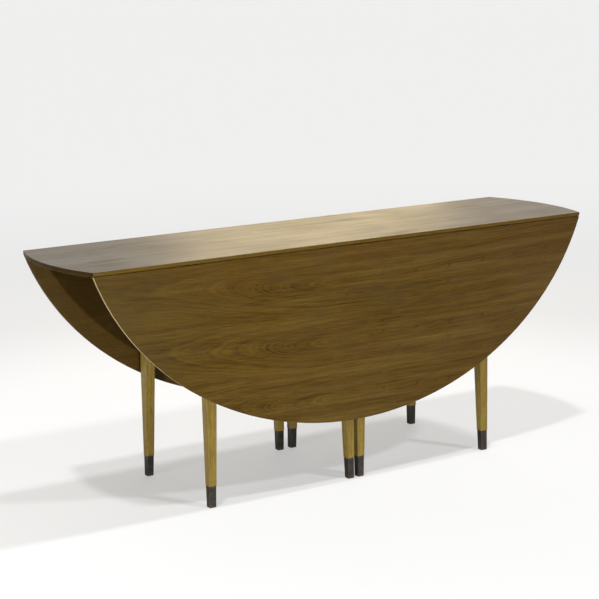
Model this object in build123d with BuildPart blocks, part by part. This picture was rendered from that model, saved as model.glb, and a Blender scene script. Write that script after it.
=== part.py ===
"""Oval drop-leaf table with gate legs, leaves hanging, gates closed.

Millimetres, +Z up. The origin is on the floor under the middle of the table.
X runs along the table and -Y is the front. Every piece is drawn where it stands
with both leaves down and all four gate legs closed to the middle.
"""

import os
from math import sqrt

from build123d import *

os.makedirs("parts", exist_ok=True)

# ---- driving dimensions ------------------------------------------------------
TABLE_HEIGHT = 737.0  # floor to the top surface
HALF_LENGTH = 908.0  # the opened top is one ellipse: half its length
HALF_DEPTH = 761.5  # and half its depth, with both leaves raised
CENTRE_WIDTH = 458.0  # fixed middle section, joint to joint
BOARD = 12.0  # thickness of the top and of the leaves
EASE = 0.5  # chamfer on the board edges

# leaf hinges: the pin lies inside the top, a little way in from its long edge
PIN_INBOARD = 6.5  # from the edge of the fixed top to the pin
PIN_ABOVE = 5.7  # from the underside to the pin
LEAF_GAP = 0.6  # between the raised leaf and the fixed top
SWING_CLEARANCE = 0.35  # between the leaf's sweeping edge and the top's bevel
HINGE_CENTRES = {"left": -560.0, "middle": 0.0, "right": 560.0}
HINGE_LENGTH = 60.0
HINGE_PLATE = 1.5
BARREL_R = 2.9
HINGE_PIN_R = 1.5
KNUCKLES = 5
KNUCKLE_GAP = 0.15  # at each end of every knuckle
PLATE_GAP = 0.6  # from the leaf's inner face to the edge of each full plate
TOP_FLAP_REACH = 24.0
LEAF_FLAP_REACH = 30.0
POCKET_CLEARANCE = 0.4  # round the moving knuckles, in the top
OUTER_SCREW_X = 21.0  # flap screws, from the middle of the hinge
INNER_SCREW_X = 8.0
SCREW_STAGGER = 5.0
LEAF_SCREW_ROWS = (9.0, 22.0)  # below the edge of the plate

# frame
FRAME_HALF_LENGTH = 512.0  # to the outer faces of the corner legs
FRAME_HALF_DEPTH = 203.0
LEG = 41.0  # square section above the taper
LEG_FOOT = 22.1  # the taper carried down to the floor
APRON_BOTTOM = 612.0  # the taper starts here too
ARRIS = 1.0  # rounding of the leg corners
APRON = 19.5  # thickness of the long aprons
END_APRON = 20.0
END_APRON_SETBACK = 4.0
OUTER_LAYER = 21.0  # fly rails and the top of each gate leg
RUB_GAP = 0.5  # between a gate and the fixed wood it swings past
TENON = 9.0
TENON_LENGTH = 20.0
TENON_SHOULDER = 10.0
BEARER_X = (130.0, 190.0)
FIXING_DEPTH = 28.0  # height of the bearers and of the corner braces
BRACE_INNER = 570.0  # x + y of the two long faces of a corner brace
BRACE_OUTER = 598.0
BEARER_SCREW_Y = 90.0
BRACE_SCREW_X = 448.0
BLOCK_SCREW_X = 457.0
BLOCK_SCREW_INSET = 28.0  # from the top and bottom of the apron

# gates
GATE_PIN_X = 430.0
GATE_PIN_R = 4.0
PAIR_GAP = {"front": 13.6, "rear": 25.6}  # between the two closed legs of a side
PAIR_CENTRE = {"front": 2.2, "rear": -2.1}
GATE_KNUCKLES = 5
FINGER_GAP = 0.2  # at each end of every wooden finger

# sabots on the leg ends
SABOT_HEIGHT = 65.0
SABOT_INSET = 0.8  # each face, behind the wood above it
SABOT_FLOOR = 4.0
SPIGOT = 16.0

# fasteners
FIT = 0.05  # radial clearance round screws and turning pins
PRESS_FIT = 0.02  # radial clearance where a pin is held fast
FLAP_SCREW = (1.3, 2.4, 8.5)  # shank radius, head radius, length
FIXING_SCREW = (1.9, 4.0, 35.0)
BLOCK_SCREW = (1.9, 4.0, 34.0)

# ---- worked out from them ----------------------------------------------------
UNDERSIDE = TABLE_HEIGHT - BOARD
PIN_Y = CENTRE_WIDTH / 2 - PIN_INBOARD
PIN_Z = UNDERSIDE + PIN_ABOVE
LEAF_TOP_Z = PIN_Z - PIN_INBOARD - LEAF_GAP
PLATE_START = PIN_ABOVE + PLATE_GAP  # each flap's full plate begins here
LAYER_Y = FRAME_HALF_DEPTH - OUTER_LAYER  # inner face of the outer layer
APRON_Y = FRAME_HALF_DEPTH - LEG  # inner face of the long aprons
GATE_PIN_Y = FRAME_HALF_DEPTH - OUTER_LAYER / 2
LEG_X = FRAME_HALF_LENGTH - LEG  # inner face of the corner legs
TENON_LOW = APRON_BOTTOM + TENON_SHOULDER
TENON_HIGH = UNDERSIDE - TENON_SHOULDER
FIXING_Z = UNDERSIDE - FIXING_DEPTH  # underside of the bearers and the corner braces
END_APRON_X = FRAME_HALF_LENGTH - END_APRON_SETBACK - END_APRON

SIDES = {"front": -1, "rear": 1}
ENDS = {"left": -1, "right": 1}
CORNERS = [(side, end) for side in SIDES for end in ENDS]
UP = (Align.CENTER, Align.CENTER, Align.MIN)  # from its plane upwards


def finish(name, builder):
    """Label a finished piece and write it."""
    builder.part.label = name
    export_step(builder.part, f"parts/{name}.step")


def block(x, y, z, mode=Mode.ADD):
    """A box between three (from, to) pairs, given in either order."""
    middle = [(low + high) / 2 for low, high in (x, y, z)]
    with Locations(tuple(middle)):
        Box(abs(x[1] - x[0]), abs(y[1] - y[0]), abs(z[1] - z[0]), mode=mode)


def leg_width(z):
    """Side of the square leg at height z: straight down to the aprons, then tapered."""
    return LEG_FOOT + (LEG - LEG_FOOT) * min(z / APRON_BOTTOM, 1.0)


# ---- leaf hinges -------------------------------------------------------------
def by_pin(side, x, inboard, up, mode=Mode.ADD):
    """A box placed from a side's hinge line: inboard of the pin and above it."""
    y = [SIDES[side] * (PIN_Y - distance) for distance in inboard]
    z = [PIN_Z + height for height in up]
    block(x, y, z, mode)


def hinge_ends(centre):
    return (centre - HINGE_LENGTH / 2, centre + HINGE_LENGTH / 2)


def knuckle_spans(centre, fixed):
    """X spans of the knuckles that belong to the fixed flap or to the leaf's flap."""
    pitch = HINGE_LENGTH / KNUCKLES
    start = hinge_ends(centre)[0]
    first = 0 if fixed else 1
    return [
        (start + i * pitch + KNUCKLE_GAP, start + (i + 1) * pitch - KNUCKLE_GAP)
        for i in range(first, KNUCKLES, 2)
    ]


def barrel(side, span, radius, mode=Mode.ADD):
    """A cylinder along the hinge line."""
    with Locations(Plane(origin=(span[0], SIDES[side] * PIN_Y, PIN_Z), z_dir=(1, 0, 0))):
        Cylinder(radius, span[1] - span[0], align=UP, mode=mode)


def top_flap_screws(side, centre):
    """Screw planes of one fixed flap: head face down, driven upwards."""
    y = SIDES[side] * (PIN_Y - PLATE_START - TOP_FLAP_REACH * 0.5)
    stagger = SIDES[side] * SCREW_STAGGER
    spots = ((-OUTER_SCREW_X, stagger), (0, -stagger), (OUTER_SCREW_X, stagger))
    return [Plane(origin=(centre + dx, y + dy, UNDERSIDE), z_dir=(0, 0, 1)) for dx, dy in spots]


def leaf_flap_screws(side, centre):
    """Screw planes of one leaf flap: head face inboard, driven outwards."""
    y = SIDES[side] * (PIN_Y - PIN_ABOVE)
    high, low = [PIN_Z - PLATE_START - row for row in LEAF_SCREW_ROWS]
    spots = ((-OUTER_SCREW_X, high), (-INNER_SCREW_X, low), (INNER_SCREW_X, low), (OUTER_SCREW_X, high))
    return [Plane(origin=(centre + dx, y, z), z_dir=(0, SIDES[side], 0)) for dx, z in spots]


def screws(planes, radius, head_r, length, grow=0.0, mode=Mode.ADD):
    """Countersunk slotted screws, or the holes for them when grow is given."""
    with Locations(*planes):
        Cylinder(radius + grow, length + grow, align=UP, mode=mode)
        Cone(head_r + grow, radius, head_r - radius + grow, align=UP, mode=mode)
    if mode == Mode.ADD:
        with Locations(*planes):
            Box(head_r * 2, head_r * 0.25, head_r * 0.25, align=UP, mode=Mode.SUBTRACT)


def hinge(side, place, centre):
    """The two flaps of one leaf hinge."""
    ends = hinge_ends(centre)
    plate = (-PIN_ABOVE, HINGE_PLATE - PIN_ABOVE)
    with BuildPart() as top_flap:
        by_pin(side, ends, (PLATE_START, PLATE_START + TOP_FLAP_REACH), plate)
        for span in knuckle_spans(centre, fixed=True):
            by_pin(side, span, (0, PLATE_START), plate)
            by_pin(side, span, (0, BARREL_R), (-PIN_ABOVE, 0))
            barrel(side, span, BARREL_R)
        barrel(side, ends, HINGE_PIN_R + PRESS_FIT, Mode.SUBTRACT)
        screws(top_flap_screws(side, centre), *FLAP_SCREW, grow=FIT, mode=Mode.SUBTRACT)
    finish(f"{side}_{place}_top_flap", top_flap)

    plate = (PIN_ABOVE - HINGE_PLATE, PIN_ABOVE)
    with BuildPart() as leaf_flap:
        by_pin(side, ends, plate, (-PLATE_START - LEAF_FLAP_REACH, -PLATE_START))
        for span in knuckle_spans(centre, fixed=False):
            by_pin(side, span, plate, (-PLATE_START, 0))
            by_pin(side, span, (0, PIN_ABOVE), (-BARREL_R, 0))
            barrel(side, span, BARREL_R)
        barrel(side, ends, HINGE_PIN_R + FIT, Mode.SUBTRACT)
        screws(leaf_flap_screws(side, centre), *FLAP_SCREW, grow=FIT, mode=Mode.SUBTRACT)
    finish(f"{side}_{place}_leaf_flap", leaf_flap)


# ---- top and leaves ----------------------------------------------------------
def fixing_planes():
    """Screws that hold the top down: two in each bearer, one in each corner brace."""
    bearer_x = sum(BEARER_X) / 2
    brace_y = (BRACE_INNER + BRACE_OUTER) / 2 - BRACE_SCREW_X
    spots = [(bearer_x * e, BEARER_SCREW_Y * s) for e in (-1, 1) for s in (-1, 1)]
    spots += [(BRACE_SCREW_X * e, brace_y * s) for e in (-1, 1) for s in (-1, 1)]
    return [Plane(origin=(x, y, FIXING_Z), z_dir=(0, 0, 1)) for x, y in spots]


# The lower long corners of the top are bevelled, so that the leaf's edge swings past.
swing_r = PIN_INBOARD + LEAF_GAP - SWING_CLEARANCE
bevel_up = PIN_ABOVE - sqrt(swing_r**2 - PIN_INBOARD**2)
bevel_in = PIN_INBOARD - sqrt(swing_r**2 - PIN_ABOVE**2)

with BuildPart() as centre_top:
    with BuildSketch(Plane.XY.offset(UNDERSIDE)):
        Ellipse(HALF_LENGTH, HALF_DEPTH)
        Rectangle(2 * HALF_LENGTH, CENTRE_WIDTH, mode=Mode.INTERSECT)
    extrude(amount=BOARD)
    chamfer(centre_top.faces().sort_by(Axis.Z)[-1].edges(), EASE)
    chamfer(centre_top.faces().sort_by(Axis.Z)[0].edges().filter_by(Axis.X, reverse=True), EASE)
    for side, sign in SIDES.items():
        edge = sign * CENTRE_WIDTH / 2
        with BuildSketch(Plane.YZ):
            with BuildLine():
                low = (edge, UNDERSIDE)
                Polyline(low, (edge, UNDERSIDE + bevel_up), (edge - sign * bevel_in, UNDERSIDE), low)
            make_face()
        extrude(amount=HALF_LENGTH, both=True, mode=Mode.SUBTRACT)
        for centre in HINGE_CENTRES.values():
            ends = hinge_ends(centre)
            roomy = (ends[0] - POCKET_CLEARANCE, ends[1] + POCKET_CLEARANCE)
            pocket = BARREL_R + POCKET_CLEARANCE
            plate = HINGE_PLATE - PIN_ABOVE
            by_pin(side, roomy, (-pocket, PLATE_START), (-PIN_ABOVE, pocket), Mode.SUBTRACT)
            past_edge = (-PIN_INBOARD - LEAF_GAP, 0)
            by_pin(side, roomy, past_edge, (-PIN_ABOVE, plate + POCKET_CLEARANCE), Mode.SUBTRACT)
            flap = (PLATE_START, PLATE_START + TOP_FLAP_REACH)
            by_pin(side, ends, flap, (-PIN_ABOVE, plate), Mode.SUBTRACT)
            screws(top_flap_screws(side, centre), *FLAP_SCREW, grow=FIT, mode=Mode.SUBTRACT)
    screws(fixing_planes(), *FIXING_SCREW, grow=FIT, mode=Mode.SUBTRACT)
finish("centre_top", centre_top)

for side, sign in SIDES.items():
    outer_face = sign * (PIN_Y + BOARD - PIN_ABOVE)
    inner_face = sign * (PIN_Y - PIN_ABOVE)
    with BuildPart() as leaf:
        with BuildSketch(Plane.XZ.offset(-outer_face)):
            with Locations((0, PIN_Z + PIN_Y)):
                Ellipse(HALF_LENGTH, HALF_DEPTH)
            with Locations((0, LEAF_TOP_Z)):
                below = (Align.CENTER, Align.MAX)
                Rectangle(2 * HALF_LENGTH, HALF_DEPTH, align=below, mode=Mode.INTERSECT)
        extrude(amount=sign * BOARD)
        broad_faces = leaf.faces().sort_by(Axis.Y)
        chamfer(broad_faces[0].edges() + broad_faces[-1].edges(), EASE)
        for centre in HINGE_CENTRES.values():
            recess = (-PLATE_START - LEAF_FLAP_REACH, 0)
            by_pin(side, hinge_ends(centre), (PIN_ABOVE - HINGE_PLATE, PIN_ABOVE), recess, Mode.SUBTRACT)
            screws(leaf_flap_screws(side, centre), *FLAP_SCREW, grow=FIT, mode=Mode.SUBTRACT)
    finish(f"{side}_leaf", leaf)

for side in SIDES:
    for place, centre in HINGE_CENTRES.items():
        hinge(side, place, centre)
    with BuildPart() as hinge_pins:
        for centre in HINGE_CENTRES.values():
            barrel(side, hinge_ends(centre), HINGE_PIN_R)
    finish(f"{side}_hinge_pins", hinge_pins)
    with BuildPart() as leaf_screws:
        for centre in HINGE_CENTRES.values():
            screws(leaf_flap_screws(side, centre), *FLAP_SCREW)
    finish(f"{side}_leaf_flap_screws", leaf_screws)

with BuildPart() as flap_screws:
    for side in SIDES:
        for centre in HINGE_CENTRES.values():
            screws(top_flap_screws(side, centre), *FLAP_SCREW)
finish("top_flap_screws", flap_screws)


# ---- legs and sabots ---------------------------------------------------------
def section(x, inward_x, y, inward_y, inset, z):
    """The rounded square section of a leg at height z, its outer corner at (x, y)."""
    width = leg_width(z)
    with BuildSketch(Plane.XY.offset(z)) as outline:
        with Locations((x + inward_x * width / 2, y + inward_y * width / 2)):
            RectangleRounded(width - 2 * inset, width - 2 * inset, ARRIS)
    return outline.sketch


def tapered_post(corner, inset, low, high):
    """A square post with two faces upright, at its outer corner, and two tapered."""
    loft([section(*corner, inset, low), section(*corner, inset, high)], ruled=True)


def leg_blank(corner, top):
    """A leg before its joints: tapered below the aprons, square beside them."""
    tapered_post(corner, 0, SABOT_HEIGHT, APRON_BOTTOM)
    extrude(section(*corner, 0, APRON_BOTTOM), amount=top - APRON_BOTTOM)
    block(spigot_span(*corner[:2]), spigot_span(*corner[2:]), (SABOT_FLOOR, SABOT_HEIGHT))


def spigot_span(start, inward):
    """Where the square spigot lies inside the sabot, along one axis."""
    near = start + inward * (LEG_FOOT - SPIGOT) / 2
    return (near, near + inward * SPIGOT)


def sabot(name, corner):
    """A square metal cup on the end of a leg."""
    with BuildPart() as cup:
        tapered_post(corner, SABOT_INSET, 0, SABOT_HEIGHT)
        chamfer(cup.faces().sort_by(Axis.Z)[0].edges(), ARRIS / 2)
        block(spigot_span(*corner[:2]), spigot_span(*corner[2:]), (SABOT_FLOOR, SABOT_HEIGHT), Mode.SUBTRACT)
    finish(f"{name}_sabot", cup)


def long_apron_tenon(side, end):
    """The tenon of a long apron in its corner leg, as three spans."""
    s, e = SIDES[side], ENDS[end]
    middle = APRON_Y + APRON / 2
    return (
        (e * LEG_X, e * (LEG_X + TENON_LENGTH)),
        (s * (middle - TENON / 2), s * (middle + TENON / 2)),
        (TENON_LOW, TENON_HIGH),
    )


def end_apron_tenon(side, end):
    """The tenon of an end apron in its corner leg."""
    s, e = SIDES[side], ENDS[end]
    middle = END_APRON_X + END_APRON / 2
    return (
        (e * (middle - TENON / 2), e * (middle + TENON / 2)),
        (s * APRON_Y, s * (APRON_Y + TENON_LENGTH)),
        (TENON_LOW, TENON_HIGH),
    )


def gate_leg_face(side, end):
    """The upright face of a gate leg that looks at its neighbour."""
    return PAIR_CENTRE[side] + ENDS[end] * PAIR_GAP[side] / 2


def fly_rail_tenon(side, end):
    """The tenon of a fly rail in its gate leg."""
    s, e = SIDES[side], ENDS[end]
    shoulder = gate_leg_face(side, end) + e * LEG
    return (
        (shoulder, shoulder - e * TENON_LENGTH),
        (s * (GATE_PIN_Y - TENON / 2), s * (GATE_PIN_Y + TENON / 2)),
        (TENON_LOW, TENON_HIGH),
    )


for side, end in CORNERS:
    s, e = SIDES[side], ENDS[end]
    corner = (e * FRAME_HALF_LENGTH, -e, s * FRAME_HALF_DEPTH, -s)
    with BuildPart() as leg:
        leg_blank(corner, UNDERSIDE)
        block(*long_apron_tenon(side, end), mode=Mode.SUBTRACT)
        block(*end_apron_tenon(side, end), mode=Mode.SUBTRACT)
    finish(f"{side}_{end}_leg", leg)
    sabot(f"{side}_{end}_leg", corner)

for side, end in CORNERS:
    s, e = SIDES[side], ENDS[end]
    corner = (gate_leg_face(side, end), e, s * FRAME_HALF_DEPTH, -s)
    with BuildPart() as gate_leg:
        leg_blank(corner, UNDERSIDE - RUB_GAP)
        across = (corner[0] - e, corner[0] + e * (LEG + 1))
        notch = (s * (APRON_Y - 1), s * LAYER_Y)
        block(across, notch, (APRON_BOTTOM - RUB_GAP, UNDERSIDE), Mode.SUBTRACT)
        block(*fly_rail_tenon(side, end), mode=Mode.SUBTRACT)
    finish(f"{side}_{end}_gate_leg", gate_leg)
    sabot(f"{side}_{end}_gate", corner)


# ---- aprons, bearers and corner braces -----------------------------------------
def block_screw_planes(side, end):
    """Screws from inside a long apron into its hinge block."""
    s, e = SIDES[side], ENDS[end]
    heights = (APRON_BOTTOM + BLOCK_SCREW_INSET, UNDERSIDE - BLOCK_SCREW_INSET)
    return [Plane(origin=(e * BLOCK_SCREW_X, s * APRON_Y, z), z_dir=(0, s, 0)) for z in heights]


for side, s in SIDES.items():
    with BuildPart() as long_apron:
        thickness = (s * APRON_Y, s * (APRON_Y + APRON))
        block((-LEG_X, LEG_X), thickness, (APRON_BOTTOM, UNDERSIDE))
        for end in ENDS:
            block(*long_apron_tenon(side, end))
            screws(block_screw_planes(side, end), *BLOCK_SCREW, grow=FIT, mode=Mode.SUBTRACT)
    finish(f"{side}_long_apron", long_apron)

for end, e in ENDS.items():
    with BuildPart() as end_apron:
        thickness = (e * END_APRON_X, e * (END_APRON_X + END_APRON))
        block(thickness, (-APRON_Y, APRON_Y), (APRON_BOTTOM, UNDERSIDE))
        for side in SIDES:
            block(*end_apron_tenon(side, end))
    finish(f"{end}_end_apron", end_apron)

    with BuildPart() as bearer:
        block([e * x for x in BEARER_X], (-APRON_Y, APRON_Y), (FIXING_Z, UNDERSIDE))
        screws(fixing_planes(), *FIXING_SCREW, grow=FIT, mode=Mode.SUBTRACT)
    finish(f"{end}_bearer", bearer)

for side, end in CORNERS:
    s, e = SIDES[side], ENDS[end]
    with BuildPart() as brace:
        with BuildSketch(Plane.XY.offset(FIXING_Z)):
            with BuildLine():
                reach = (
                    (BRACE_INNER - APRON_Y, APRON_Y),
                    (BRACE_OUTER - APRON_Y, APRON_Y),
                    (END_APRON_X, BRACE_OUTER - END_APRON_X),
                    (END_APRON_X, BRACE_INNER - END_APRON_X),
                )
                Polyline(*[(e * x, s * y) for x, y in reach], close=True)
            make_face()
        extrude(amount=UNDERSIDE - FIXING_Z)
        screws(fixing_planes(), *FIXING_SCREW, grow=FIT, mode=Mode.SUBTRACT)
    finish(f"{side}_{end}_corner_brace", brace)

with BuildPart() as fixing_screws:
    screws(fixing_planes(), *FIXING_SCREW)
finish("top_fixing_screws", fixing_screws)

with BuildPart() as block_screws:
    for side, end in CORNERS:
        screws(block_screw_planes(side, end), *BLOCK_SCREW)
finish("hinge_block_screws", block_screws)


# ---- wooden knuckle joints of the gates --------------------------------------------
def finger_heights(fixed):
    """Z spans of the wooden fingers of the hinge block or of the fly rail."""
    pitch = (UNDERSIDE - RUB_GAP - APRON_BOTTOM) / GATE_KNUCKLES
    first = 0 if fixed else 1
    return [
        (APRON_BOTTOM + i * pitch + FINGER_GAP, APRON_BOTTOM + (i + 1) * pitch - FINGER_GAP)
        for i in range(first, GATE_KNUCKLES, 2)
    ]


def fingers(side, end, fixed, hole_r):
    """Rounded fingers round a gate's pin, reaching back to their own piece."""
    s, e = SIDES[side], ENDS[end]
    pin = (e * GATE_PIN_X, s * GATE_PIN_Y)
    back = e * (OUTER_LAYER / 2 + RUB_GAP) * (1 if fixed else -1)
    for low, high in finger_heights(fixed):
        block((pin[0], pin[0] + back), (s * LAYER_Y, s * FRAME_HALF_DEPTH), (low, high))
        with Locations((*pin, low)):
            Cylinder(OUTER_LAYER / 2, high - low, align=UP)
    with Locations((*pin, APRON_BOTTOM)):
        Cylinder(hole_r, UNDERSIDE - APRON_BOTTOM, align=UP, mode=Mode.SUBTRACT)


for side, end in CORNERS:
    s, e = SIDES[side], ENDS[end]
    clear = OUTER_LAYER / 2 + RUB_GAP
    with BuildPart() as hinge_block:
        body = (e * (GATE_PIN_X + clear), e * LEG_X)
        block(body, (s * (APRON_Y + APRON), s * FRAME_HALF_DEPTH), (APRON_BOTTOM, UNDERSIDE))
        fingers(side, end, True, GATE_PIN_R + PRESS_FIT)
        screws(block_screw_planes(side, end), *BLOCK_SCREW, grow=FIT, mode=Mode.SUBTRACT)
    finish(f"{side}_{end}_hinge_block", hinge_block)

    with BuildPart() as fly_rail:
        shoulder = gate_leg_face(side, end) + e * LEG
        body = (shoulder, e * (GATE_PIN_X - clear))
        block(body, (s * LAYER_Y, s * FRAME_HALF_DEPTH), (APRON_BOTTOM, UNDERSIDE - RUB_GAP))
        block(*fly_rail_tenon(side, end))
        fingers(side, end, False, GATE_PIN_R + FIT)
    finish(f"{side}_{end}_fly_rail", fly_rail)

with BuildPart() as gate_pins:
    with BuildSketch(Plane.XY.offset(APRON_BOTTOM)):
        with Locations(*[(ENDS[end] * GATE_PIN_X, SIDES[side] * GATE_PIN_Y) for side, end in CORNERS]):
            Circle(GATE_PIN_R)
    extrude(amount=UNDERSIDE - RUB_GAP - APRON_BOTTOM)
finish("gate_pins", gate_pins)
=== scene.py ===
"""Looks for the oval drop-leaf table: materials, stage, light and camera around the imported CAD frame."""

from math import cos, radians, sin

import bpy
from mathutils import Matrix, Vector


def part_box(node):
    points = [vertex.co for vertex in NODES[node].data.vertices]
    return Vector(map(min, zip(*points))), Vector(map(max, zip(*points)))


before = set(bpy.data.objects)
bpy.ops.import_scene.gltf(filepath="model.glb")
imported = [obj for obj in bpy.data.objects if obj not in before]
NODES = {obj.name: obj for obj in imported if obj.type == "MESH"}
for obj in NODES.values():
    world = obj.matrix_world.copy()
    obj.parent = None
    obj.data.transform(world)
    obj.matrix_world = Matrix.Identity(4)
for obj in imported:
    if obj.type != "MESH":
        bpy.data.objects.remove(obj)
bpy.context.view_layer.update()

LEAF_LOW, LEAF_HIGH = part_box("front_leaf")
LEAF_MIDDLE = abs(LEAF_LOW.y + LEAF_HIGH.y) / 2  # from y = 0 to the middle of a hanging leaf's thickness
STRIP = (LEAF_HIGH.z - LEAF_LOW.z) / 3  # each leaf face is laid in three strips of veneer
SOFT_EDGE = 0.001  # metres over which one look passes into the next

# ---- grain and veneer figure, in metres unless said otherwise ----------------
RINGS_PER_METRE = 290.0
RIPPLE = 0.0022  # short waves of the growth rings
VENEER_WANDER = 0.018  # and long ones
SOLID_WANDER = 0.020
STRIP_SHIFT = 0.035  # from the grain of one strip to that of the next
STRAIGHT_DEPTH = 0.010  # from the heart of the log to the face, at the right of a strip
FLAME_DEPTH = 0.072  # more than that, at its left end
HEART_DRIFT = 0.05  # how far the heart of the figure wanders across its strip
KNOT_RADIUS = 0.013
KNOT_CORE = 0.003  # radius of its full dark middle
KNOT_FLATNESS = 2.4
KNOT_SPACING = 0.128
SECOND_KNOT_SPACING = 0.191

# widths of the worn arrises, and the height that one unit of relief stands for
VENEER_ARRIS = 0.0008
SOLID_ARRIS = 0.0012
SABOT_ARRIS = 0.0012
SMALL_ARRIS = 0.0005
VENEER_RELIEF = 0.00006
SOLID_RELIEF = 0.00008
SABOT_RELIEF = 0.00005
SMALL_RELIEF = 0.00003
FLOOR_RELIEF = 0.0001
SABOT_FOOT = 0.012  # the lowest part of a sabot, scuffed by the floor

# ---- colours -----------------------------------------------------------------
# POLISH is what the finish reflects head on, while glancing reflections stay white
POLISH = (0.28, 0.20, 0.08, 1.0)
WALNUT_PALE = (0.069, 0.038, 0.0031)
WALNUT_DARK = (0.013, 0.0064, 0.0007)
WALNUT_RED = (0.052, 0.0235, 0.0026)
# grey of the random clouds in the veneer, also used as a painted sheen at the left end
WALNUT_SMOKE_AND_SHEEN = (0.030, 0.020, 0.0060)
WALNUT_BLOND = (0.142, 0.095, 0.0205)
WALNUT_DEEP = (0.024, 0.013, 0.0035)
WALNUT_PORE = (0.020, 0.010, 0.003)
LIPPING_PALE = (0.080, 0.049, 0.0100)
LIPPING_DARK = (0.046, 0.026, 0.0050)
# painted highlight: the cream line where the front leaf's end edge catches the light
EDGE_HIGHLIGHT_CREAM = (0.260, 0.205, 0.110)
# end grain, darkened further as painted shade
END_GRAIN_AND_SHADE = (0.014, 0.008, 0.003)
SABOT_DARK = (0.008, 0.007, 0.006)
SABOT_BROWN = (0.024, 0.018, 0.013)
SABOT_RUBBED = (0.130, 0.104, 0.083)
BRASS_BRIGHT = (0.20, 0.13, 0.05)
BRASS_DULL = (0.06, 0.038, 0.016)
STEEL_BRIGHT = (0.48, 0.46, 0.43)
STEEL_DULL = (0.20, 0.19, 0.17)

# pale, dark and deep
LEG_SHADES = ((0.172, 0.122, 0.027), (0.092, 0.062, 0.014), (0.044, 0.027, 0.007))
INNER_SHADES = ((0.210, 0.135, 0.058), (0.140, 0.086, 0.036), (0.070, 0.042, 0.018))

# ---- values of the stage, in metres unless said otherwise --------------------
FLOOR_HALF = 60.0
FLOOR_NEAR = (0.90, 0.90, 0.90)
FLOOR_CLOUD = (0.88, 0.88, 0.88)
# painted shade: the floor greys with distance where the lamps' light falls off
FLOOR_MIDWAY_SHADE = (0.66, 0.66, 0.66)
FLOOR_FAR_SHADE = (0.76, 0.76, 0.76)
MIDWAY_FADE = (1.3, 2.6)  # from the origin, where this shade begins and where it is full
FAR_FADE = (3.0, 7.0)
FLAT_WHITE = 0.67  # what lifts the floor's shadows
FLAT_SHARE = 0.63

ROOM_TINT = (1.0, 0.985, 0.93, 1.0)
ROOM_STRENGTH = 0.16
BACKDROP_STRENGTH = 1.5
BACKDROP_TOWARD = (0.64, 0.75, -0.15)
BACKDROP_FADE = (0.3, 0.95)  # cosine of the angle from its middle, at its rim and where it is full

CAMERA_PLACE = (-2.8594, -4.3626, 1.5740)
CAMERA_YAW = 0.5701  # radians, as the next two
CAMERA_PITCH = 0.19904
CAMERA_ROLL = -0.01759
SENSOR_WIDTH = 36.0  # millimetres, as the next
FOCAL_LENGTH = 103.64


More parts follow.
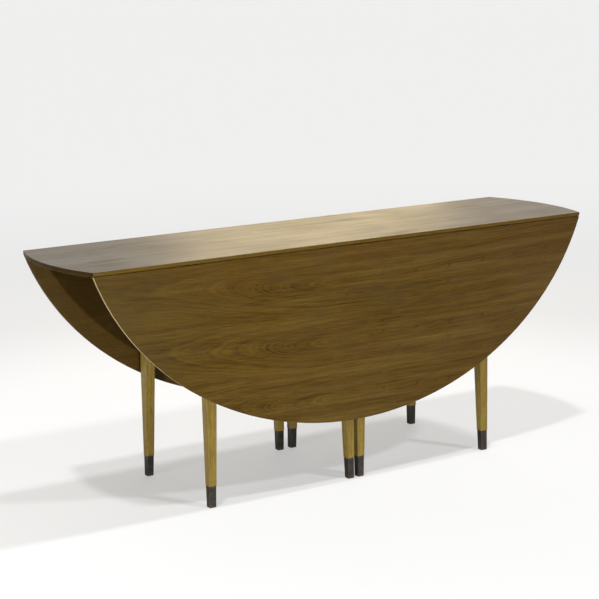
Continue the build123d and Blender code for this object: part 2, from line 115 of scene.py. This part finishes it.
# ---- short names for making material nodes -----------------------------------
class Graph:
    """One material and the calls that add its nodes. Values may be numbers or node outputs."""

    def __init__(self, name):
        self.material = bpy.data.materials.new(name)
        self.material.use_nodes = True
        self.tree = self.material.node_tree
        self.tree.nodes.clear()
        self.output = self.tree.nodes.new("ShaderNodeOutputMaterial")
        self.shader = self.tree.nodes.new("ShaderNodeBsdfPrincipled")
        self.tree.links.new(self.shader.outputs[0], self.output.inputs[0])
        coordinates = self.tree.nodes.new("ShaderNodeTexCoord")
        self.place = coordinates.outputs["Object"]
        self.normal = coordinates.outputs["Normal"]

    def feed(self, socket, value):
        if isinstance(value, bpy.types.NodeSocket):
            self.tree.links.new(value, socket)
        elif value is not None:
            socket.default_value = value

    def math(self, operation, a, b=None, c=None, clamp=False):
        node = self.tree.nodes.new("ShaderNodeMath")
        node.operation = operation
        node.use_clamp = clamp
        for socket, value in zip(node.inputs, (a, b, c)):
            self.feed(socket, value)
        return node.outputs[0]

    def add(self, a, b):
        return self.math("ADD", a, b)

    def sub(self, a, b):
        return self.math("SUBTRACT", a, b)

    def times(self, a, b):
        return self.math("MULTIPLY", a, b)

    def along(self, a, scale, offset):
        return self.math("MULTIPLY_ADD", a, scale, offset)

    def step(self, value, low, high):
        """0 below low, 1 above high, smooth in between; low may be the larger one."""
        node = self.tree.nodes.new("ShaderNodeMapRange")
        node.interpolation_type = "SMOOTHSTEP"
        if low > high:
            node.inputs["From Min"].default_value = high
            node.inputs["From Max"].default_value = low
            node.inputs["To Min"].default_value = 1.0
            node.inputs["To Max"].default_value = 0.0
        else:
            node.inputs["From Min"].default_value = low
            node.inputs["From Max"].default_value = high
        self.feed(node.inputs["Value"], value)
        return node.outputs["Result"]

    def split(self, vector):
        node = self.tree.nodes.new("ShaderNodeSeparateXYZ")
        self.feed(node.inputs[0], vector)
        return node.outputs[0], node.outputs[1], node.outputs[2]

    def join(self, x, y, z):
        node = self.tree.nodes.new("ShaderNodeCombineXYZ")
        for socket, value in zip(node.inputs, (x, y, z)):
            self.feed(socket, value)
        return node.outputs[0]

    def noise(self, vector, scale=1.0, detail=2.0, roughness=0.5):
        node = self.tree.nodes.new("ShaderNodeTexNoise")
        node.inputs["Scale"].default_value = scale
        node.inputs["Detail"].default_value = detail
        node.inputs["Roughness"].default_value = roughness
        self.feed(node.inputs["Vector"], vector)
        return node.outputs["Fac"]

    def drawn_out(self, u, v, w, along, across, detail=2.0, roughness=0.5):
        """Noise drawn out along u: along and across are its waves to the metre, roughly."""
        stretched = self.join(self.times(u, along), self.times(v, across), self.times(w, across))
        return self.noise(stretched, detail=detail, roughness=roughness)

    def length(self, a, b):
        return self.math("SQRT", self.add(self.math("POWER", a, 2.0), self.math("POWER", b, 2.0)))

    def blend(self, a, b, share):
        node = self.tree.nodes.new("ShaderNodeMix")
        node.data_type = "RGBA"
        self.feed(node.inputs["Factor"], share)
        self.feed(node.inputs["A"], a if isinstance(a, bpy.types.NodeSocket) else (*a, 1.0))
        self.feed(node.inputs["B"], b if isinstance(b, bpy.types.NodeSocket) else (*b, 1.0))
        return node.outputs["Result"]

    def wear(self, radius):
        """1 on arrises, 0 on flat faces."""
        bevel = self.tree.nodes.new("ShaderNodeBevel")
        bevel.samples = 4
        bevel.inputs["Radius"].default_value = radius
        geometry = self.tree.nodes.new("ShaderNodeNewGeometry")
        dot = self.tree.nodes.new("ShaderNodeVectorMath")
        dot.operation = "DOT_PRODUCT"
        self.tree.links.new(bevel.outputs[0], dot.inputs[0])
        self.tree.links.new(geometry.outputs["Normal"], dot.inputs[1])
        return self.step(dot.outputs["Value"], 0.995, 0.9)

    def finish(self, colour, roughness, height, depth, **shader):
        """depth is the real height in metres that one unit of height stands for."""
        bump = self.tree.nodes.new("ShaderNodeBump")
        bump.inputs["Strength"].default_value = 1.0
        bump.inputs["Distance"].default_value = depth
        self.feed(bump.inputs["Height"], height)
        self.feed(self.shader.inputs["Normal"], bump.outputs[0])
        self.feed(self.shader.inputs["Base Color"], colour)
        self.feed(self.shader.inputs["Roughness"], roughness)
        for name, value in shader.items():
            self.shader.inputs[name.replace("_", " ")].default_value = value
        return self.material


# ---- wood --------------------------------------------------------------------
def grain(g, u, v, w, rings, wander):
    """The grain of a board whose fibres run along u. rings is the depth into the growth rings in metres,
    and wander is how far they wave. Returns lines, fine fibre and pores, each from 0 to 1."""
    slow = g.drawn_out(u, v, w, 2.2, 9.0, detail=3.0)
    fast = g.drawn_out(u, v, w, 14.0, 60.0)
    drift = g.add(g.along(slow, wander, rings), g.times(fast, RIPPLE))
    cycle = g.math("FRACT", g.times(drift, RINGS_PER_METRE))
    late = g.times(g.step(cycle, 0.2, 0.85), g.step(cycle, 1.0, 0.9))
    fine = g.noise(g.join(g.times(drift, 520.0), g.times(u, 2.0), 0.0), detail=3.0, roughness=0.6)
    bands = g.noise(g.join(g.times(drift, 200.0), g.times(u, 1.2), 7.3))
    streaks = g.drawn_out(u, v, w, 16.0, 280.0, detail=3.0, roughness=0.6)
    lines = g.add(g.times(g.step(fine, 0.4, 0.6), 0.26), g.times(g.step(bands, 0.38, 0.62), 0.28))
    lines = g.add(lines, g.times(g.step(streaks, 0.4, 0.6), 0.34))
    lines = g.add(lines, g.times(late, 0.12))
    fibre = g.drawn_out(u, v, w, 22.0, 900.0, detail=3.0, roughness=0.7)
    dash = g.drawn_out(u, v, w, 55.0, 850.0, detail=1.0)
    pores = g.times(g.step(dash, 0.54, 0.7), g.along(late, 0.5, 0.5))
    return lines, fibre, pores


def pin_knots(g, u, v, spacing, first, level, lean):
    """A row of small knots a fixed distance apart along the grain, as slip-matched veneer repeats them.
    They stand half a spacing to either side of first and on to the right, level metres above the middle
    of the strip, and lean is the slope at which each one lies."""
    centred = g.sub(g.math("FRACT", g.math("DIVIDE", g.sub(u, first), spacing)), 0.5)
    du = g.times(centred, spacing)
    dv = g.sub(g.sub(v, level), g.times(du, lean))
    far = g.length(du, g.times(dv, KNOT_FLATNESS))
    start = first - 0.5 * spacing
    present = g.step(u, start, start + SOFT_EDGE)
    return g.times(g.step(far, KNOT_RADIUS, KNOT_CORE), present)


def walnut_face(g, u, v, w, bow, first_knot):
    """The figured veneer: strips side by side, each with the same flames at its left and straight wavy
    grain with pin knots at its right."""
    lifted = g.sub(v, g.times(g.math("POWER", g.sub(u, 0.2), 2.0), bow))
    laid = g.math("DIVIDE", lifted, STRIP)
    strip = g.math("FLOOR", laid)
    across = g.times(g.sub(g.math("FRACT", laid), 0.5), STRIP)
    sway = g.noise(g.join(g.times(u, 2.0), g.times(strip, 0.12), 3.1), detail=1.0)
    offset = g.sub(across, g.times(g.sub(sway, 0.5), HEART_DRIFT))
    depth = g.along(g.step(u, 0.0, -0.7), FLAME_DEPTH, STRAIGHT_DEPTH)
    rings = g.length(offset, depth)
    lines, fibre, pores = grain(g, u, across, g.along(strip, STRIP_SHIFT, w), rings, VENEER_WANDER)
    knots = pin_knots(g, u, across, KNOT_SPACING, first_knot, level=0.004, lean=0.6)
    more = pin_knots(g, u, across, SECOND_KNOT_SPACING, first_knot - 0.1, level=-0.045, lean=0.3)
    return lines, fibre, pores, g.add(knots, g.times(more, 0.7))


def walnut(name, face, bow, first_knot, turn, smokiness, painted_end):
    """Walnut veneer on a board. face is the axis that its two faces look along. bow curves the strips,
    first_knot places the pin knots and turn shifts the whole figure, both in metres along the grain.
    smokiness, from 0 to 1, is the strength of grey clouds, blond streaks and patches of polish.
    The last argument colours the outer half of the board's ends, whose inner half is painted shade: a
    painted highlight on the front leaf, and painted shade on the top and the rear leaf."""
    g = Graph(name)
    x, y, z = g.split(g.place)
    normals = dict(zip("xyz", g.split(g.normal)))
    v, w = (z, y) if face == "y" else (y, z)
    lines, fibre, pores, knots = walnut_face(g, g.add(x, turn), v, w, bow, first_knot)
    broad = g.noise(g.join(g.times(x, 1.3), g.times(v, 5.0), g.times(w, 3.0)))
    streaks = g.drawn_out(x, v, w, 2.0, 45.0, detail=3.0)
    clouds = g.noise(g.join(g.times(x, 7.0), g.times(v, 16.0), 1.7), detail=3.0)
    # grey clouds at random, and a painted sheen greying the wood at the left end, from x = -0.4 m out
    smoke_and_sheen = g.add(g.times(g.step(clouds, 0.5, 0.8), smokiness), g.times(g.step(x, -0.4, -0.8), 0.5))

    colour = g.blend(WALNUT_PALE, WALNUT_DARK, lines)
    red = g.add(g.times(g.step(broad, 0.45, 0.75), 0.5), g.times(g.step(x, 0.1, 0.9), 0.35))
    colour = g.blend(colour, WALNUT_RED, red)
    colour = g.blend(colour, WALNUT_BLOND, g.times(g.step(streaks, 0.45, 0.75), 0.5 * smokiness))
    colour = g.blend(colour, WALNUT_SMOKE_AND_SHEEN, smoke_and_sheen)
    colour = g.blend(colour, WALNUT_DEEP, g.times(g.step(fibre, 0.45, 0.7), 0.3))
    colour = g.blend(colour, WALNUT_PORE, g.times(pores, 0.6))
    colour = g.blend(colour, WALNUT_PORE, g.times(knots, 0.9))

    # the leaves' inner faces are darkened as painted shade, broken by slanting streaks
    inward_shade = g.step(g.times(normals["y"], g.math("SIGN", y)), -0.5, -0.9)
    slanted = g.noise(g.join(g.times(g.add(x, g.times(z, 0.7)), 170.0), g.times(z, 20.0), 4.0), detail=3.0)
    colour = g.blend(colour, WALNUT_DEEP, g.times(inward_shade, g.along(g.step(slanted, 0.35, 0.65), 0.55, 0.15)))

    # the edge of the board is a lipping of plainer wood; its ends are darkened as painted shade, and the
    # outer half of the front leaf's ends is a painted highlight
    edge = g.step(g.math("ABSOLUTE", normals[face]), 0.8, 0.6)
    plain = g.blend(LIPPING_PALE, LIPPING_DARK, g.step(fibre, 0.3, 0.7))
    end_grain = g.step(g.math("ABSOLUTE", normals["x"]), 0.35, 0.7)
    outer_half = g.step(g.math("ABSOLUTE", y), LEAF_MIDDLE - SOFT_EDGE, LEAF_MIDDLE + SOFT_EDGE)
    ends = g.blend(END_GRAIN_AND_SHADE, painted_end, outer_half)
    plain = g.blend(plain, ends, g.times(end_grain, 0.9))
    colour = g.blend(colour, plain, edge)
    worn = g.wear(VENEER_ARRIS)
    colour = g.blend(colour, LIPPING_PALE, g.times(worn, 0.35))

    rubbed = g.noise(g.join(g.times(x, 5.0), g.times(v, 9.0), w), detail=3.0)
    roughness = g.add(g.along(rubbed, 0.12, 0.34), g.times(fibre, 0.08))
    roughness = g.add(roughness, g.times(worn, 0.1))
    height = g.sub(g.times(fibre, 0.35), pores)

    # the polish is stronger in patches, and nearly missing on the edges
    patches = g.add(g.times(g.step(clouds, 0.35, 0.65), 0.4), g.times(g.step(streaks, 0.35, 0.65), 0.4))
    patches = g.add(patches, g.times(g.step(broad, 0.35, 0.65), 0.3))
    polish = g.times(g.along(patches, smokiness, 0.5 - 0.55 * smokiness), g.along(edge, -0.95, 1.0))
    g.feed(g.shader.inputs["Specular IOR Level"], polish)
    return g.finish(colour, roughness, height, VENEER_RELIEF, Specular_Tint=POLISH)


def solid_wood(name, axis, shades, sheen):
    """Straight-grained solid wood with its grain along one axis. shades are its pale, dark and deep
    colours, and sheen is the roughness of its smoothest places."""
    pale, dark, deep = shades
    g = Graph(name)
    parts = dict(zip("xyz", g.split(g.place)))
    u = parts.pop(axis)
    v, w = parts.values()
    radial = g.add(g.times(v, 0.8), g.times(w, 0.6))
    lines, fibre, pores = grain(g, u, v, w, radial, SOLID_WANDER)
    broad = g.drawn_out(u, v, w, 2.0, 12.0)
    colour = g.blend(pale, dark, lines)
    colour = g.blend(colour, deep, g.times(g.step(fibre, 0.45, 0.8), 0.55))
    colour = g.blend(colour, dark, g.times(g.step(broad, 0.45, 0.8), 0.4))
    colour = g.blend(colour, deep, g.times(pores, 0.85))
    worn = g.wear(SOLID_ARRIS)
    colour = g.blend(colour, pale, g.times(worn, 0.45))
    roughness = g.add(g.along(broad, 0.14, sheen), g.times(fibre, 0.12))
    height = g.sub(g.times(fibre, 0.4), pores)
    return g.finish(colour, roughness, height, SOLID_RELIEF, Specular_Tint=POLISH, Specular_IOR_Level=0.3)


# ---- metal -------------------------------------------------------------------
def sabot_metal():
    """Blackened bronze: nearly black, with brushed mottling and rubbed arrises."""
    g = Graph("sabot_metal_look")
    x, y, z = g.split(g.place)
    mottle = g.noise(g.place, scale=70.0, detail=4.0, roughness=0.6)
    brushed = g.noise(g.join(g.times(x, 2500.0), g.times(y, 2500.0), g.times(z, 60.0)))
    scuffs = g.step(g.noise(g.place, scale=260.0, detail=3.0), 0.6, 0.75)
    low = g.step(z, SABOT_FOOT, 0.0)
    worn = g.wear(SABOT_ARRIS)
    colour = g.blend(SABOT_DARK, SABOT_BROWN, g.step(mottle, 0.35, 0.7))
    colour = g.blend(colour, SABOT_RUBBED, g.times(g.add(g.times(worn, 0.6), g.times(scuffs, 0.12)), 0.9))
    colour = g.blend(colour, SABOT_RUBBED, g.times(low, 0.15))
    roughness = g.add(g.along(mottle, 0.22, 0.34), g.times(brushed, 0.1))
    height = g.add(g.times(brushed, 0.3), g.times(mottle, 0.5))
    return g.finish(colour, roughness, height, SABOT_RELIEF, Metallic=0.2, Specular_IOR_Level=0.25)


def small_metal(name, bright, dull, rough):
    """Brass or steel of hinges and screws, dulled in patches and brighter on its arrises."""
    g = Graph(name)
    tarnish = g.noise(g.place, scale=160.0, detail=4.0, roughness=0.6)
    fine = g.noise(g.place, scale=1800.0)
    worn = g.wear(SMALL_ARRIS)
    colour = g.blend(bright, dull, g.step(tarnish, 0.35, 0.7))
    colour = g.blend(colour, bright, g.times(worn, 0.6))
    roughness = g.add(g.along(tarnish, 0.3, rough), g.times(fine, 0.1))
    return g.finish(colour, roughness, g.add(fine, tarnish), SMALL_RELIEF, Metallic=1.0)


# ---- materials of the pieces -------------------------------------------------
def looks():
    """Every material, by a short name."""
    leaf = {"face": "y", "bow": 0.06, "first_knot": 0.15, "smokiness": 0.35}
    top = {"face": "z", "bow": 0.0, "first_knot": 0.3, "smokiness": 0.8}
    return {
        "top": walnut("top_veneer", **top, turn=0.37, painted_end=END_GRAIN_AND_SHADE),
        "front": walnut("front_leaf_veneer", **leaf, turn=0.0, painted_end=EDGE_HIGHLIGHT_CREAM),
        "rear": walnut("rear_leaf_veneer", **leaf, turn=0.1, painted_end=END_GRAIN_AND_SHADE),
        "leg": solid_wood("leg_wood_look", "z", LEG_SHADES, 0.36),
        "rail": solid_wood("rail_wood", "x", INNER_SHADES, 0.5),
        "cross": solid_wood("cross_wood", "y", INNER_SHADES, 0.5),
        "sabot": sabot_metal(),
        "brass": small_metal("hinge_brass_look", BRASS_BRIGHT, BRASS_DULL, 0.4),
        "steel": small_metal("screw_steel_look", STEEL_BRIGHT, STEEL_DULL, 0.35),
    }


def paint():
    """Gives every CAD node its material: the first ending in the list that its name has decides."""
    materials = looks()
    endings = (
        ("centre_top", "top"),
        ("screws", "steel"),
        ("_pins", "brass"),
        ("_flap", "brass"),
        ("front_leaf", "front"),
        ("rear_leaf", "rear"),
        ("_sabot", "sabot"),
        ("_leg", "leg"),
        ("end_apron", "cross"),
        ("bearer", "cross"),
        ("", "rail"),
    )
    for name, node in NODES.items():
        look = next(kind for ending, kind in endings if name.endswith(ending))
        node.data.materials.clear()
        node.data.materials.append(materials[look])


# ---- stage, light and camera -------------------------------------------------
def floor():
    """A plain pale studio floor, greyer from about two metres out: painted shade where the lamps' light
    falls off.
    For the camera alone its shadows are lifted by a share of flat white glow, painted light, as on an
    over-lit studio floor."""
    low, high = -FLOOR_HALF, FLOOR_HALF
    corners = [(low, low, 0), (high, low, 0), (high, high, 0), (low, high, 0)]
    mesh = bpy.data.meshes.new("studio_floor")
    mesh.from_pydata(corners, [], [(0, 1, 2, 3)])
    ground = bpy.data.objects.new("studio_floor", mesh)
    bpy.context.scene.collection.objects.link(ground)
    g = Graph("studio_floor_look")
    x, y, _ = g.split(g.place)
    away = g.length(x, y)
    cloudy = g.noise(g.place, scale=3.0, detail=3.0)
    colour = g.blend(FLOOR_NEAR, FLOOR_CLOUD, cloudy)
    colour = g.blend(colour, FLOOR_MIDWAY_SHADE, g.step(away, *MIDWAY_FADE))
    colour = g.blend(colour, FLOOR_FAR_SHADE, g.step(away, *FAR_FADE))
    g.finish(colour, 0.9, cloudy, FLOOR_RELIEF, Specular_IOR_Level=0.1)
    flat = g.tree.nodes.new("ShaderNodeEmission")
    flat.inputs["Strength"].default_value = FLAT_WHITE
    path = g.tree.nodes.new("ShaderNodeLightPath")
    lifted = g.tree.nodes.new("ShaderNodeMixShader")
    g.feed(lifted.inputs[0], g.times(path.outputs["Is Camera Ray"], FLAT_SHARE))
    g.tree.links.new(g.shader.outputs[0], lifted.inputs[1])
    g.tree.links.new(flat.outputs[0], lifted.inputs[2])
    g.tree.links.new(lifted.outputs[0], g.output.inputs[0])
    mesh.materials.append(g.material)


def hang(lamp, away_from_aim):
    """Puts a lamp in the scene, turned so that it shines against a direction, and returns its object."""
    holder = bpy.data.objects.new(lamp.name, lamp)
    holder.rotation_mode = "QUATERNION"
    holder.rotation_quaternion = away_from_aim.to_track_quat("Z", "Y")
    bpy.context.scene.collection.objects.link(holder)
    return holder


def sun(name, toward, strength, spread):
    """A distant lamp: toward points from the table to the lamp, spread is its width in degrees."""
    lamp = bpy.data.lights.new(name, "SUN")
    lamp.energy = strength
    lamp.angle = radians(spread)
    hang(lamp, Vector(toward))


def panel(name, centre, aim, size, power, colour, mirrored=True):
    """A soft square lamp that the camera doesn't see, and that glossy surfaces see only where mirrored."""
    lamp = bpy.data.lights.new(name, "AREA")
    lamp.energy = power
    lamp.size = size
    lamp.color = colour
    holder = hang(lamp, Vector(centre) - Vector(aim))
    holder.location = centre
    holder.visible_camera = False
    holder.visible_glossy = mirrored


def studio_air():
    """A dim room with a pale backdrop standing behind the table."""
    world = bpy.data.worlds.new("studio_air")
    world.use_nodes = True
    tree = world.node_tree
    coordinates = tree.nodes.new("ShaderNodeTexCoord")
    toward = tree.nodes.new("ShaderNodeVectorMath")
    toward.operation = "DOT_PRODUCT"
    toward.inputs[1].default_value = BACKDROP_TOWARD
    tree.links.new(coordinates.outputs["Generated"], toward.inputs[0])
    backdrop = tree.nodes.new("ShaderNodeMapRange")
    backdrop.interpolation_type = "SMOOTHSTEP"
    backdrop.inputs["From Min"].default_value = BACKDROP_FADE[0]
    backdrop.inputs["From Max"].default_value = BACKDROP_FADE[1]
    backdrop.inputs["To Min"].default_value = ROOM_STRENGTH
    backdrop.inputs["To Max"].default_value = BACKDROP_STRENGTH
    tree.links.new(toward.outputs["Value"], backdrop.inputs["Value"])
    air = tree.nodes["Background"]
    air.inputs["Color"].default_value = ROOM_TINT
    tree.links.new(backdrop.outputs["Result"], air.inputs["Strength"])
    bpy.context.scene.world = world


def lights():
    """Three suns above and in front, a small low lamp in front and two soft ones, left and behind."""
    studio_air()
    sun("overhead_left", toward=(-204, -183, 722), strength=1.7, spread=4.0)
    sun("overhead_right", toward=(320, -54, 722), strength=1.7, spread=5.0)
    sun("front_right", toward=(330, -600, 737), strength=1.3, spread=5.0)
    panel(
        "low_front",
        centre=(-0.945, -3.45, 0.12),
        aim=(0.0, -0.23, 0.45),
        size=0.05,
        power=106.0,
        colour=(1.0, 0.97, 0.9),
    )
    panel(
        "left_bounce",
        centre=(-3.2, -0.7, 0.5),
        aim=(-0.5, 0.0, 0.2),
        size=1.0,
        power=66.0,
        colour=(1.0, 0.97, 0.86),
        mirrored=False,
    )
    panel(
        "rear_glow",
        centre=(1.75, 2.7, 1.45),
        aim=(0.0, 0.0, 0.74),
        size=1.3,
        power=14.5,
        colour=(1.0, 0.76, 0.34),
    )


def camera():
    """The photographer's place: a long lens, left of the table and above it."""
    yaw, pitch, roll = CAMERA_YAW, CAMERA_PITCH, CAMERA_ROLL
    ahead = Vector((sin(yaw) * cos(pitch), cos(yaw) * cos(pitch), -sin(pitch)))
    level = Vector((cos(yaw), -sin(yaw), 0.0))
    above = level.cross(ahead)
    right = level * cos(roll) + above * sin(roll)
    up = above * cos(roll) - level * sin(roll)
    data = bpy.data.cameras.new("camera")
    data.sensor_width = SENSOR_WIDTH
    data.lens = FOCAL_LENGTH
    view = bpy.data.objects.new("camera", data)
    basis = Matrix((right, up, -ahead)).transposed().to_4x4()
    view.matrix_world = Matrix.Translation(CAMERA_PLACE) @ basis
    bpy.context.scene.collection.objects.link(view)
    bpy.context.scene.camera = view


paint()
floor()
lights()
camera()
bpy.context.scene.view_settings.view_transform = "Standard"
